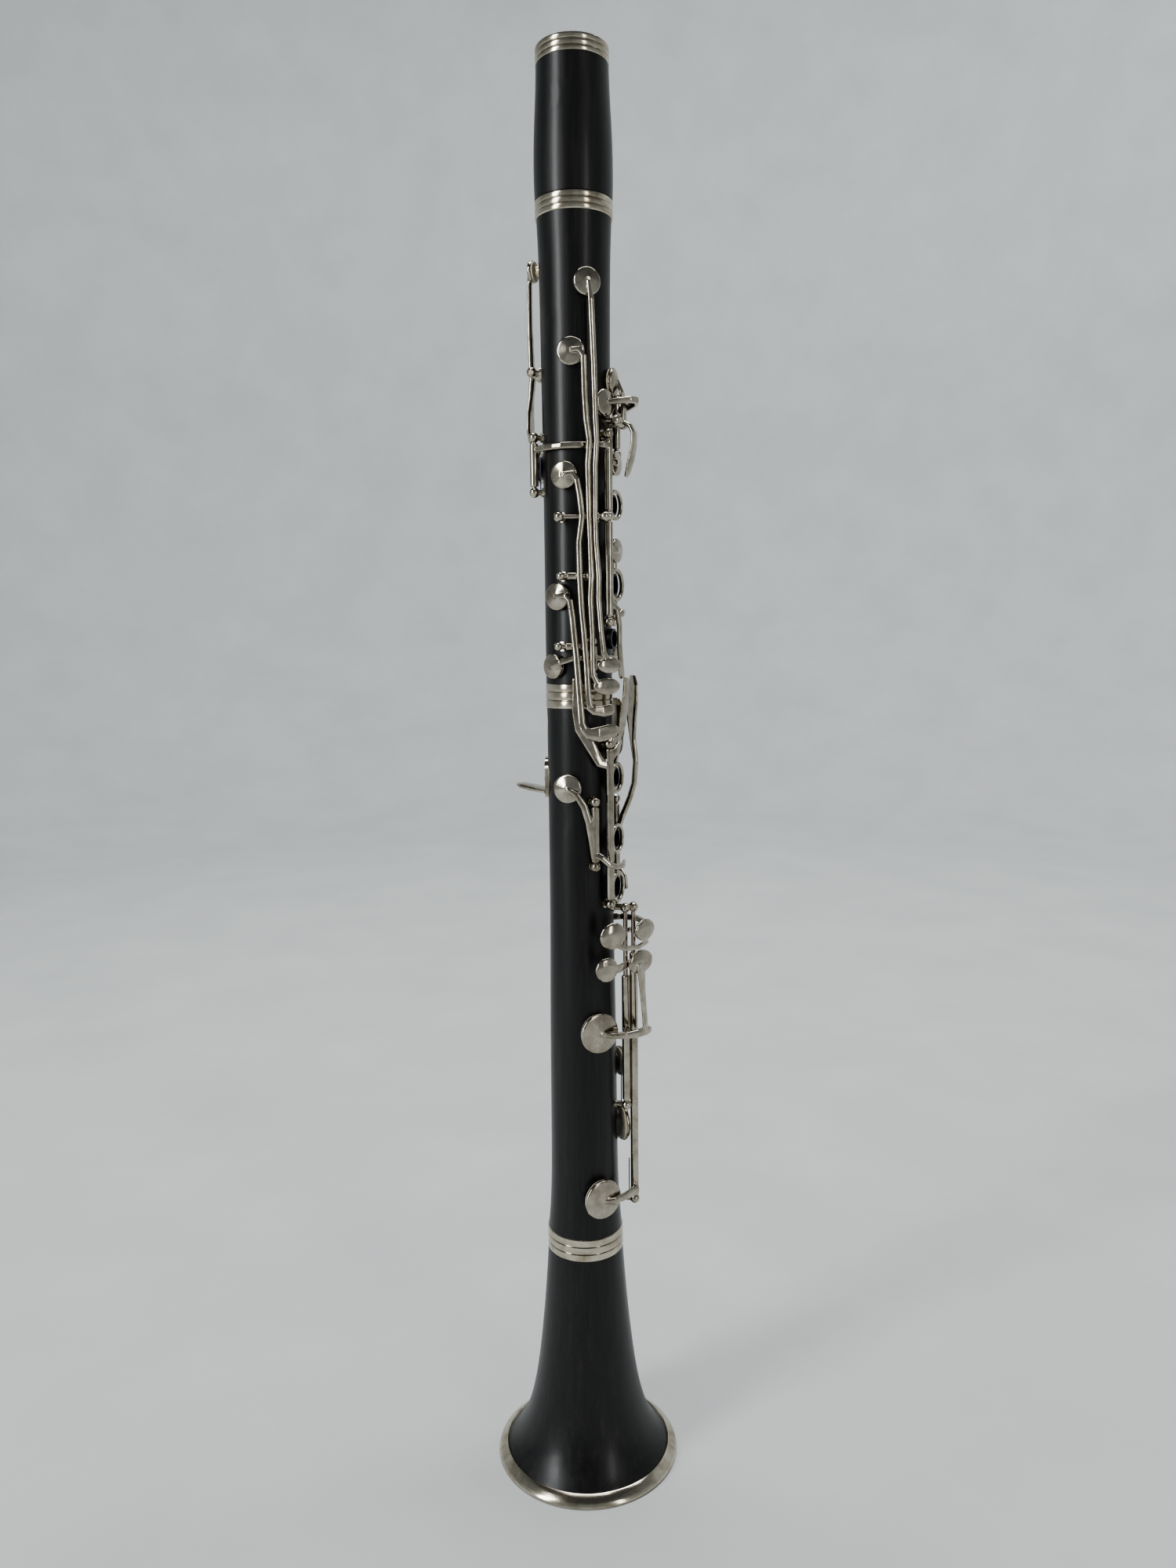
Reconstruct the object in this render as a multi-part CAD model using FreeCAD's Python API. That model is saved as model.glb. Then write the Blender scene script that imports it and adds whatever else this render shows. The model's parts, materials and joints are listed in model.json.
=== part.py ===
"""Clarinet of the common simple-to-read key layout, standing on its bell.

Frame: millimetres, +Z up along the bore, origin at the centre of the bell's resting face.
The finger holes face -Y, the player's right side is -X and the thumb rest is at +Y.
Places on the body are given by radius from the bore's axis, angle and height. The angle is
measured from the front (-Y) and is positive towards the player's right.
"""
import FreeCAD
import Part
import math
import os

Vector = FreeCAD.Vector
UP = Vector(0, 0, 1)
AXIS_POINT = Vector(0, 0, 0)

# ---- main heights, from the bell's resting face
BELL_TOP = 107.7
LOWER_TOP = 346.2
UPPER_TOP = 528.2
BARREL_TOP = 591.5

# ---- bore, sockets and tenons
BORE = 7.3
MOUTHPIECE_SOCKET = 11.1
MOUTHPIECE_DEPTH = 16.5
SLIDE_GAP = 0.05
UPPER_TENON, UPPER_TENON_LENGTH = 11.15, 16.8
MIDDLE_TENON, MIDDLE_TENON_LENGTH = 11.65, 21.8
BELL_TENON, BELL_TENON_LENGTH = 12.7, 17.0
CORK = 0.7

# ---- keywork
SIDE = 71.0                # angle that the side keys and the little-finger cluster face
ROD = 0.95                 # hinge rod radius
TUBE = 1.65                # hinge tube radius
RUN = 0.04                 # clearance of a tube on its rod
BALL = 2.1                 # post ball radius
SEAT_GAP = 0.05            # a closed pad above its tone-hole rim
CHIMNEY = 16.0             # radius at which the raised finger holes end
SMALL_CUP, VENT_CUP, LARGE_CUP = 5.4, 4.8, 8.5


# ------------------------------------------------------------------ places and directions

def outward(angle):
    a = math.radians(angle)
    return Vector(-math.sin(a), -math.cos(a), 0)


def around(angle):
    """Direction round the body towards smaller angles."""
    a = math.radians(angle)
    return Vector(math.cos(a), -math.sin(a), 0)


def at(radius, angle, height):
    return outward(angle) * radius + UP * height


def side(across, depth, height):
    """Point given by its offset across the right side and its depth out from the axis."""
    return around(SIDE) * across + outward(SIDE) * depth + UP * height


def facing(point, angle, tilt=0):
    """Frame at a point whose local Z faces outward and whose local Y is up."""
    turn = FreeCAD.Rotation(around(angle), UP, outward(angle), "ZXY")
    return FreeCAD.Placement(point, turn.multiply(FreeCAD.Rotation(Vector(1, 0, 0), tilt)))


# ------------------------------------------------------------------ basic solids

def turned(outline):
    """Solid of revolution about Z from (radius, height) corners."""
    corners = [Vector(r, 0, z) for r, z in outline]
    face = Part.Face(Part.makePolygon(corners + corners[:1]))
    return face.revolve(AXIS_POINT, UP, 360)


def rod(start, end, radius):
    line = end - start
    return Part.makeCylinder(radius, line.Length, start, line)


def pipe(start, end, outer, inner):
    return rod(start, end, outer).cut(rod(start, end, inner))


def fused(pieces):
    """One solid from overlapping pieces."""
    whole = pieces[0].fuse(pieces[1:]) if len(pieces) > 1 else pieces[0]
    return whole.removeSplitter()


def section(centre, wide, thick, width, thickness):
    """Closed soft-cornered outline of a bar at one station."""
    points = []
    for step in range(12):
        t = math.radians(30 * step + 15)
        x = math.copysign(abs(math.cos(t)) ** 0.8, math.cos(t)) * width / 2
        y = math.copysign(abs(math.sin(t)) ** 0.8, math.sin(t)) * thickness / 2
        points.append(centre + wide * x + thick * y)
    return Part.makePolygon(points + points[:1])


def bar(stations, face=None):
    """Bar through (point, width, thickness) stations, its broad side facing outward."""
    points = [s[0] for s in stations]
    outlines = []
    for i, (point, width, thickness) in enumerate(stations):
        along = points[min(i + 1, len(points) - 1)] - points[max(i - 1, 0)]
        along.normalize()
        out = face or Vector(point.x, point.y, 0)
        thick = out - along * out.dot(along)
        thick.normalize()
        outlines.append(section(point, along.cross(thick), thick, width, thickness))
    return Part.makeLoft(outlines, True, True)


def pebble(point, angle, width, height, thickness, tilt=0, roll=0):
    """Smooth oval finger touch."""
    ball = Part.makeSphere(1)
    stretch = FreeCAD.Matrix()
    stretch.scale(width / 2, height / 2, thickness / 2)
    oval = ball.transformGeometry(stretch)
    oval.rotate(AXIS_POINT, UP, roll)
    oval.Placement = facing(point, angle, tilt).multiply(oval.Placement)
    return oval


def oval_touch(point, angle, width, height, thickness):
    """Oval finger touch lofted crosswise, for keys whose arm comes in from the side."""
    stations = []
    for step in (-0.98, -0.8, -0.4, 0, 0.4, 0.8, 0.98):
        swell = math.sqrt(1 - step * step)
        place = point + around(angle) * (step * width / 2)
        stations.append((place, height * swell, thickness * max(swell, 0.4)))
    return bar(stations, outward(angle))


def cup_and_pad(angle, height, seat, radius, rise=3.5):
    """Key cup with its pad, facing outward, closed on a seat at this radius."""
    place = facing(at(seat, angle, height), angle)
    wall = 0.6
    cup = turned([(0, 1.9), (radius - wall, 1.9), (radius - wall, 1.0), (radius, 1.0),
                  (radius, 2.15), (radius - 0.35, 2.5), (1.3, rise), (0, rise)])
    pad = turned([(0, SEAT_GAP), (radius - 0.9, SEAT_GAP), (radius - 0.3, 0.4), (radius - 0.3, 1.0),
                  (radius - wall, 1.0), (radius - wall, 1.9), (0, 1.9)])
    cup.Placement = place
    pad.Placement = place
    return cup, pad


def finger_ring(angle, height, outer, inner, top=CHIMNEY):
    ring = turned([(inner + 0.2, -1.5), (outer - 0.3, -1.5), (outer, -1.1), (outer, -0.3),
                   (outer - 0.5, 0.15), (inner + 0.4, 0.15), (inner, -0.2), (inner, -1.3)])
    ring.Placement = facing(at(top, angle, height), angle)
    return ring


def post(point, foot_radius, ball=BALL):
    """Ball-headed post that stands in the wood below the point."""
    out = Vector(point.x, point.y, 0)
    out.normalize()
    foot = out * (foot_radius - 2.2) + UP * point.z
    collar = out * (foot_radius - 0.5) + UP * point.z
    neck = rod(foot, point, 1.15)
    base = rod(collar, collar + out * 1.4, 1.9)
    return fused([neck, base, Part.makeSphere(ball, point)])


# ------------------------------------------------------------------ hinges

class Hinge:
    """A hinge rod with the key's travel. Positive turning presses the key's touch."""

    def __init__(self, start, end, touch, travel, body, tube=TUBE):
        self.start = start
        self.end = end
        self.travel = travel
        self.body = body
        self.tube = tube
        self.axis = end - start
        self.axis.normalize()
        inward = Vector(-touch.x, -touch.y, 0)
        if self.axis.cross(touch - start).dot(inward) < 0:
            self.axis = self.axis * -1

    def barrel(self, first=0.0, last=1.0):
        """Tube that turns on the rod, over part of the hinge's length."""
        line = self.end - self.start
        return rod(self.start + line * first, self.start + line * last, self.tube)

    def bored(self, shape):
        """The shape with the running hole for the rod."""
        line = self.end - self.start
        extra = line * (6 / line.Length)
        return shape.cut(rod(self.start - extra, self.end + extra, ROD + RUN))

    def opened(self, shape):
        """A shape made closed on its tone hole, turned back to its rest place."""
        moved = shape.copy()
        moved.rotate(self.start, self.axis, -self.travel)
        return moved


def upright(radius, angle, low, high, touch, travel, body):
    return Hinge(at(radius, angle, low), at(radius, angle, high), touch, travel, body)


def hinges():
    """Every key's hinge: rod line, the point that is pressed, travel in degrees, carrying joint."""
    up, low = "upper_joint", "lower_joint"
    table = {}
    table["register_key"] = Hinge(Vector(-2.6, 17.0, 471), Vector(2.6, 17.0, 471),
                                  at(19.5, 180, 450), 4.0, up)
    table["thumb_ring_key"] = upright(17.5, 150, 425.6, 442.4, at(16, 180, 434), 3.5, up)
    table["throat_a_key"] = Hinge(Vector(-2.6, -18.4, 450), Vector(2.6, -18.4, 450),
                                  at(22, 0, 434), 4.0, up)
    table["throat_g_sharp_key"] = upright(17.5, -40, 441.5, 459.5, at(19, -62, 446), 6.0, up)
    table["upper_ring_key_1"] = upright(17.6, 25.5, 415.1, 442.3, at(16, 0, 417.8), 7.0, up)
    table["upper_ring_key_2"] = upright(17.6, 25.5, 373.4, 410.5, at(16, 0, 386), 7.0, up)
    table["side_key_1"] = Hinge(side(5.9, 16.4, 412.3), side(8.6, 16.4, 412.3),
                                side(12, 18, 354), 2.2, up)
    table["side_key_2"] = Hinge(side(3.2, 16.4, 412.3), side(5.8, 16.4, 412.3),
                                side(11, 18, 346), 2.5, up)
    table["side_key_3"] = Hinge(side(-4.1, 15.7, 389.2), side(1.6, 15.7, 389.2),
                                side(11, 18, 336), 3.0, up)
    table["side_key_4"] = Hinge(side(-5.0, 15.7, 361.4), side(-0.2, 15.7, 361.4),
                                side(10, 19, 327.5), 3.2, up)
    table["c_sharp_key"] = upright(16.0, 50, 351.8, 361.4, at(19, -50, 356), 4.5, up)
    table["upper_sliver_key"] = upright(17.2, -50, 373.5, 396.5, at(18.5, 0, 375), 8.0, up)
    table["lower_ring_key"] = upright(17.4, 27, 256.9, 319.5, at(16, 0, 281), 5.0, low)
    table["lower_sliver_key"] = upright(17.5, 51, 273.6, 295.9, at(18.5, 0, 270), 7.0, low)
    table["left_e_lever"] = upright(17.6, -50, 262.3, 293.7, at(24, -40, 340), 4.0, low)
    table["left_f_sharp_lever"] = upright(17.6, -75, 262.3, 293.7, at(23, -62, 330), 4.0, low)
    table["right_e_key"] = upright(22.2, -8, 123.4, 231.5, side(8.1, 22, 230), 5.0, low)
    table["right_f_key"] = upright(17.6, -70, 148.5, 245.5, at(26, -2, 243), 5.0, low)
    table["right_f_sharp_key"] = upright(17.6, -90, 172.5, 240.5, at(25, 46, 243), 4.0, low)
    table["right_a_flat_key"] = upright(19.3, -1, 167.0, 222.0, side(26, 8, 229), 7.0, low)
    return table


HINGES = hinges()


# ------------------------------------------------------------------ keys of the upper joint

def register_key():
    hinge = HINGES["register_key"]
    cup, pad = cup_and_pad(180, 511, 16.3, 4.2, 3.3)
    lever = bar([(at(19.0, 180, 512), 2.0, 1.4), (at(19.3, 180, 505), 3.0, 1.8),
                 (at(19.3, 180, 490), 3.4, 1.8), (at(18.9, 180, 475), 4.2, 2.0),
                 (at(18.6, 180, 469), 4.4, 2.2), (at(19.3, 180, 462), 4.0, 1.8),
                 (at(19.8, 180, 456), 6.4, 1.7), (at(19.8, 180, 449), 7.6, 1.6),
                 (at(19.4, 180, 444.5), 5.6, 1.4), (at(19.1, 180, 443.3), 3.0, 1.0)])
    return hinge.bored(fused([cup, lever, hinge.barrel()])), pad


def thumb_ring_key():
    hinge = HINGES["thumb_ring_key"]
    ring = finger_ring(180, 434, 6.5, 5.1)
    strap = bar([(at(16.9, 150, 434), 3.4, 2.2), (at(16.4, 158, 434), 3.2, 1.7),
                 (at(15.8, 162, 434), 3.0, 1.4)])
    stations = [(at(16.9, 148, 440), 2.8, 2.0)]
    for step in range(8):
        stations.append((at(16.2, 136 - 13.5 * step, 440), 2.6, 1.3))
    return hinge.opened(hinge.bored(fused([ring, strap, bar(stations), hinge.barrel()]))), None


def throat_a_key():
    hinge = HINGES["throat_a_key"]
    cup, pad = cup_and_pad(0, 465.7, 14.2, 5.3, 3.6)
    lever = bar([(at(17.6, 0, 466), 2.2, 1.4), (at(19.6, 0, 461), 2.8, 1.8),
                 (at(20.2, 0, 455), 3.2, 1.9), (at(19.9, 0, 450), 4.4, 2.4),
                 (at(22.9, 0, 448.4), 4.6, 2.0), (at(24.4, 0, 445.5), 5.4, 1.8),
                 (at(24.1, 0, 440), 6.4, 1.7), (at(23.0, 0, 435), 6.4, 1.7),
                 (at(21.7, 0, 430.5), 5.0, 1.5), (at(20.9, 0, 428.6), 2.6, 1.1)])
    return hinge.bored(fused([cup, lever, hinge.barrel()])), pad


def throat_g_sharp_key():
    hinge = HINGES["throat_g_sharp_key"]
    cup, pad = cup_and_pad(24, 456.8, 14.1, 5.2, 3.5)
    arm = bar([(at(17.3, 24, 456.8), 2.0, 1.4), (at(20.6, 17, 457.2), 2.4, 1.8),
               (at(24.2, 8, 457.8), 2.6, 1.9), (at(25.4, 0, 458), 2.6, 1.9),
               (at(24.4, -12, 458), 2.8, 1.9), (at(21.2, -28, 457.4), 3.0, 2.0),
               (at(18.3, -39, 456.6), 3.4, 2.4)])
    touch = bar([(at(18.3, -40, 452), 4.0, 2.2), (at(19.0, -50, 450), 6.0, 1.9),
                 (at(19.2, -60, 447), 8.0, 1.8), (at(19.0, -70, 445), 7.0, 1.5),
                 (at(18.7, -76, 444.5), 3.0, 1.0)])
    return hinge.bored(fused([cup, arm, touch, hinge.barrel()])), pad


def upper_ring_key_1():
    hinge = HINGES["upper_ring_key_1"]
    cup, pad = cup_and_pad(0, 434, 13.95, VENT_CUP, 3.2)
    ring = finger_ring(0, 417.8, 6.1, 4.9)
    vent_arm = bar([(at(17.9, 25, 434), 2.8, 2.4), (at(17.9, 12, 434), 2.4, 1.7),
                    (at(16.9, 2, 434), 1.8, 1.3)])
    ring_arm = bar([(at(17.7, 25, 418.7), 3.0, 2.4), (at(16.9, 21, 418.5), 2.6, 1.8),
                    (at(16.0, 17.6, 418.2), 2.4, 1.3)])
    tail = bar([(at(18.2, 27, 440), 2.6, 1.8), (at(18.9, 35, 440), 2.4, 1.4),
                (at(18.6, 40, 440), 2.0, 1.0)])
    key = hinge.bored(fused([cup, ring, vent_arm, ring_arm, tail, hinge.barrel()]))
    return hinge.opened(key), hinge.opened(pad)


def upper_ring_key_2():
    hinge = HINGES["upper_ring_key_2"]
    cup, pad = cup_and_pad(0, 399.6, 13.95, VENT_CUP, 3.2)
    ring = finger_ring(0, 386, 6.9, 5.4)
    vent_arm = bar([(at(17.9, 25, 399.6), 3.2, 2.4), (at(18.2, 13, 399.6), 2.8, 1.9),
                    (at(17.0, 1, 399.6), 2.0, 1.3)])
    ring_arm = bar([(at(17.7, 25, 387), 3.0, 2.4), (at(17.1, 22.5, 386.8), 2.6, 1.8),
                    (at(16.0, 20, 386.4), 2.4, 1.3)])
    bridge = bar([(at(18.1, 24, 378.4), 2.6, 2.0), (at(18.9, 16, 376.4), 2.4, 1.8),
                  (at(19.3, 13, 370), 2.2, 1.8), (at(19.3, 13, 362), 2.2, 1.7),
                  (at(18.9, 9, 354), 3.2, 1.5),
                  (at(18.4, 4, 349.6), 4.4, 1.2), (at(18.4, 3, 348.2), 3.0, 1.0)])
    key = hinge.bored(fused([cup, ring, vent_arm, ring_arm, bridge, hinge.barrel()]))
    return hinge.opened(key), hinge.opened(pad)


def side_key(name, cup_angle, cup_height, cup_radius, stations, touch):
    """Long lever on a crosswise hinge, with a pad at its top and a touch at its foot."""
    hinge = HINGES[name]
    cup, pad = cup_and_pad(cup_angle, cup_height, 14.0, cup_radius, 3.5)
    lever = bar([(side(*place), width, thickness) for place, width, thickness in stations])
    return hinge.bored(fused([cup, lever, touch, hinge.barrel()])), pad


def side_key_1():
    stations = [((5.5, 16.4, 501.5), 1.6, 1.4), ((6.3, 17.0, 494), 2.4, 1.9),
                ((7.1, 17.8, 470), 2.4, 2.1), ((7.5, 18.2, 450), 2.3, 2.1),
                ((7.9, 18.3, 441), 2.2, 2.1), ((7.3, 18.3, 432), 2.1, 2.1),
                ((7.1, 18.3, 412), 2.0, 2.2), ((7.3, 18.8, 402), 2.0, 2.1),
                ((8.3, 19.6, 389), 2.1, 2.0), ((8.1, 19.9, 380), 2.1, 2.0),
                ((9.0, 20.2, 367), 2.1, 2.0), ((9.9, 19.8, 359), 2.4, 2.0),
                ((11.6, 18.6, 354.4), 3.2, 1.8)]
    touch = pebble(side(12.3, 18.6, 353.8), 41, 10.8, 6.4, 2.5)
    return side_key("side_key_1", 53, 501.3, SMALL_CUP, stations, touch)


def side_key_2():
    stations = [((-1.8, 17.3, 475.4), 1.6, 1.4), ((1.4, 18.0, 475.6), 2.2, 1.8),
                ((3.2, 18.2, 473), 2.3, 2.0), ((3.4, 18.3, 460), 2.4, 2.1),
                ((4.0, 18.6, 449), 2.4, 2.1), ((5.1, 18.7, 441), 2.3, 2.1),
                ((4.4, 18.6, 432), 2.2, 2.1), ((4.6, 18.4, 412), 2.0, 2.2),
                ((5.0, 18.9, 402), 2.0, 2.1), ((5.4, 19.6, 389), 2.1, 2.0),
                ((4.9, 19.9, 380), 2.1, 2.0), ((5.5, 20.4, 366), 2.0, 2.0),
                ((5.5, 20.9, 356), 2.0, 1.9), ((5.7, 20.9, 350), 2.1, 1.9),
                ((7.2, 20.6, 347.0), 2.6, 1.9), ((9.0, 19.8, 345.6), 3.2, 1.7)]
    touch = pebble(side(11.2, 18.7, 345.4), 42, 12.0, 6.8, 2.5)
    return side_key("side_key_2", 77.5, 475.4, SMALL_CUP, stations, touch)


def side_key_3():
    stations = [((-5.2, 16.6, 428.6), 1.6, 1.4), ((-1.6, 17.4, 428.8), 2.3, 1.9),
                ((0.1, 17.6, 426.5), 2.4, 2.0), ((1.2, 18.4, 420), 2.4, 2.1),
                ((2.0, 18.9, 412), 2.3, 2.1), ((0.6, 18.6, 402), 2.3, 2.1),
                ((0.8, 17.9, 389), 2.4, 2.3), ((1.4, 18.9, 376), 2.3, 2.1),
                ((2.3, 19.9, 366), 2.3, 2.0), ((3.1, 20.8, 354), 2.3, 2.0),
                ((3.7, 21.4, 342), 2.4, 1.9), ((4.3, 21.5, 337.6), 2.8, 1.9)]
    touch = bar([(side(3.4, 21.5, 337.4), 2.2, 1.8), (side(6.0, 21.3, 335.8), 3.6, 2.0),
                 (side(9.5, 20.2, 335.6), 4.8, 2.2), (side(12.6, 18.4, 336.2), 4.6, 2.0),
                 (side(14.0, 17.3, 336.4), 2.6, 1.2)])
    return side_key("side_key_3", 89.3, 428.6, SMALL_CUP, stations, touch)


def side_key_4():
    stations = [((-8.5, 14.8, 381.3), 1.6, 1.4), ((-5.0, 17.0, 381.4), 2.4, 1.9),
                ((-3.2, 17.6, 379.5), 2.6, 2.1), ((-2.3, 17.8, 373), 2.6, 2.1),
                ((-1.3, 18.1, 361.4), 2.6, 2.2), ((-0.8, 19.6, 356), 2.6, 2.0),
                ((-0.4, 20.2, 351), 2.6, 2.0), ((0.2, 21.0, 342), 2.6, 2.0), ((1.0, 22.0, 331), 2.8, 2.0),
                ((1.9, 22.4, 328.2), 3.2, 2.0)]
    touch = bar([(side(0.9, 22.4, 329.0), 2.4, 1.8), (side(3.6, 22.3, 326.8), 4.6, 2.1),
                 (side(7.6, 21.6, 326.4), 6.2, 2.3), (side(11.6, 19.8, 327.2), 6.2, 2.2),
                 (side(14.6, 17.8, 327.8), 4.2, 1.7), (side(15.7, 16.9, 328), 2.2, 1.0)])
    return side_key("side_key_4", 102.5, 381.3, SMALL_CUP, stations, touch)


def c_sharp_key():
    hinge = HINGES["c_sharp_key"]
    cup, pad = cup_and_pad(112.8, 353.4, 13.95, 4.9, 3.2)
    arm = bar([(at(16.9, 112, 353.4), 1.6, 1.3), (at(17.3, 97, 355), 2.4, 1.7),
               (at(16.4, 80, 356.6), 2.4, 1.6), (at(15.9, 66, 356.8), 2.4, 1.6),
               (at(16.4, 50, 356.8), 2.6, 2.0), (at(16.1, 30, 356.6), 2.2, 1.5),
               (at(16.1, 8, 356.2), 2.2, 1.4), (at(16.2, -14, 356), 2.4, 1.4),
               (at(17.2, -34, 356), 3.0, 1.6), (at(18.8, -44, 356.5), 5.0, 1.7),
               (at(19.3, -54, 357.5), 7.0, 1.6), (at(19.2, -64, 358.5), 6.0, 1.4),
               (at(18.9, -69, 359), 3.0, 1.0)])
    return hinge.bored(fused([cup, arm, hinge.barrel()])), pad


def upper_sliver_key():
    hinge = HINGES["upper_sliver_key"]
    cup, pad = cup_and_pad(-78, 392, 13.9, VENT_CUP, 3.2)
    arm = bar([(at(16.7, -78, 392), 1.8, 1.3), (at(17.9, -64, 392), 2.4, 1.8),
               (at(17.9, -50, 392), 3.0, 2.4)])
    touch = bar([(at(17.9, -50, 376), 3.2, 2.2), (at(18.4, -32, 375.2), 2.6, 1.7),
                 (at(18.8, -14, 375), 2.6, 1.6), (at(18.9, 0, 374.6), 3.2, 1.6),
                 (at(18.4, 6, 373.6), 2.4, 1.2)])
    return hinge.bored(fused([cup, arm, touch, hinge.barrel()])), pad


# ------------------------------------------------------------------ keys of the lower joint

def lower_ring_key():
    hinge = HINGES["lower_ring_key"]
    cup, pad = cup_and_pad(0, 321.7, 13.85, 5.5, 3.3)
    pieces = [cup, hinge.barrel()]
    for height, outer in ((307.0, 6.4), (281.1, 6.4), (260.4, 6.9)):
        pieces.append(finger_ring(0, height, outer, outer - 1.4))
        lean = math.degrees(math.asin((outer - 0.6) / 17))
        pieces.append(bar([(at(17.6, 26, height + 0.8), 3.0, 2.4),
                           (at(16.9, 23.5, height + 0.6), 2.6, 1.8),
                           (at(15.9, lean, height + 0.2), 2.4, 1.3)]))
    pieces.append(bar([(at(17.6, 27, 315.5), 3.4, 2.4), (at(17.8, 17, 318.5), 3.0, 1.9),
                       (at(17.2, 4, 321.4), 2.4, 1.4)]))
    pieces.append(bar([(at(16.8, 3, 323.5), 3.0, 1.6), (at(18.6, 4.5, 328.5), 5.0, 1.7),
                       (at(19.5, 5, 334), 6.4, 1.5), (at(20.5, 5, 341), 5.0, 1.3),
                       (at(20.5, 4, 348.5), 3.4, 1.1)]))
    pieces.append(bar([(at(17.6, 27, 312.6), 3.6, 2.0), (at(16.9, 41, 314.2), 4.2, 1.1),
                       (at(16.4, 52, 320), 4.4, 0.9), (at(16.2, 69, 328), 4.4, 0.9),
                       (at(16.2, 73, 335), 4.4, 0.9), (at(16.2, 72.5, 348.5), 4.0, 0.9)]))
    key = hinge.bored(fused(pieces))
    return hinge.opened(key), hinge.opened(pad)


def lower_sliver_key():
    hinge = HINGES["lower_sliver_key"]
    cup, pad = cup_and_pad(90, 303.6, 13.85, 5.9, 3.4)
    arm = bar([(at(17.0, 90, 303.6), 1.8, 1.4), (at(17.6, 76, 301.4), 2.6, 1.9),
               (at(18.0, 66, 296.6), 3.0, 2.1), (at(18.1, 60, 290), 3.0, 2.2),
               (at(18.0, 56, 282), 2.8, 2.2), (at(17.8, 53, 275), 2.6, 2.0)])
    touch = bar([(at(17.8, 51, 276.8), 3.0, 2.2), (at(20.0, 45, 275.2), 2.4, 1.8),
                 (at(21.2, 37, 272.4), 2.4, 1.6), (at(21.3, 28, 271.0), 2.4, 1.6), (at(20.4, 12, 270.7), 2.4, 1.6),
                 (at(18.9, -2, 270.7), 3.0, 1.5), (at(18.3, -9, 270.7), 2.0, 1.1)])
    return hinge.bored(fused([cup, arm, touch, hinge.barrel()])), pad


def left_e_lever():
    hinge = HINGES["left_e_lever"]
    lever = bar([(at(18.1, -49, 282), 2.6, 2.2), (at(19.2, -40, 289), 2.8, 2.2),
                 (at(21.4, -34, 296), 3.0, 2.2), (at(23.3, -31, 303), 3.0, 2.2),
                 (at(23.9, -30, 312.5), 3.0, 2.2), (at(23.2, -33, 321), 4.4, 2.2),
                 (at(23.4, -38, 330), 9.0, 2.2), (at(23.8, -40, 338), 11.6, 2.2),
                 (at(24.2, -40, 345), 9.6, 2.0), (at(24.3, -40, 348.8), 4.4, 1.4)])
    foot = bar([(at(18.2, -48, 266), 3.0, 2.2), (at(19.4, -36, 262.5), 2.8, 1.7),
                (at(19.6, -30, 257.5), 2.6, 1.5)])
    return hinge.bored(fused([lever, foot, hinge.barrel()])), None


def left_f_sharp_lever():
    hinge = HINGES["left_f_sharp_lever"]
    lever = bar([(at(18.1, -75, 280), 2.8, 2.2), (at(19.2, -74, 287), 3.0, 2.2),
                 (at(21.6, -73, 293), 3.0, 2.2), (at(22.0, -71, 300), 3.0, 2.2),
                 (at(22.2, -70, 307), 3.0, 2.2), (at(22.3, -67, 315), 5.0, 2.1),
                 (at(22.6, -66, 323), 9.6, 2.2), (at(22.9, -66, 330), 10.6, 2.1),
                 (at(22.9, -66, 336), 8.0, 1.9), (at(22.8, -66, 338.8), 3.6, 1.3)])
    foot = bar([(at(18.2, -76, 268), 3.0, 2.2), (at(18.6, -90, 265), 2.6, 1.6),
                (at(18.4, -99, 258), 2.4, 1.4)])
    return hinge.bored(fused([lever, foot, hinge.barrel()])), None


def right_e_key():
    hinge = HINGES["right_e_key"]
    cup, pad = cup_and_pad(46.6, 126.5, 14.75, LARGE_CUP, 3.8)
    pad_arm = bar([(at(18.2, 46.6, 126.5), 2.0, 1.6), (side(11.5, 16.6, 126.4), 3.2, 2.2),
                   (side(16.5, 12.5, 126.2), 3.2, 2.3), (side(22.5, 6.6, 126), 4.4, 2.6)])
    touch_arm = bar([(side(22.4, 6.4, 228.8), 3.4, 2.4), (side(18.4, 12.0, 228.8), 3.2, 2.0),
                     (side(14.0, 18.2, 228.9), 3.4, 2.0), (side(10.5, 21.8, 229.6), 4.4, 2.0)])
    touch = oval_touch(side(8.4, 23.0, 230), 50, 10.0, 10.5, 3.0)
    key = hinge.bored(fused([cup, pad_arm, touch_arm, touch, hinge.barrel()]))
    return hinge.opened(key), hinge.opened(pad)


def right_f_key():
    hinge = HINGES["right_f_key"]
    cup, pad = cup_and_pad(-32, 153, 14.65, LARGE_CUP, 3.6)
    pad_arm = bar([(at(18.1, -32, 153), 2.2, 1.6), (at(19.8, -46, 153), 2.8, 1.9),
                   (at(20.8, -58, 153), 3.0, 2.0), (at(18.9, -69, 153), 4.0, 2.4)])
    touch_arm = bar([(at(18.4, -70, 243), 4.0, 2.4), (at(21.6, -56, 243), 2.8, 2.0),
                     (at(24.8, -38, 243.2), 2.6, 1.8), (at(26.0, -20, 243.1), 2.8, 1.8),
                     (at(25.8, -8, 242.9), 3.6, 1.8), (at(25.5, 2, 242.9), 4.6, 1.8)])
    touch = oval_touch(side(24.2, 10.8, 242.9), 30, 11.6, 9.4, 3.0)
    key = hinge.bored(fused([cup, pad_arm, touch_arm, touch, hinge.barrel()]))
    return hinge.opened(key), hinge.opened(pad)


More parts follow.
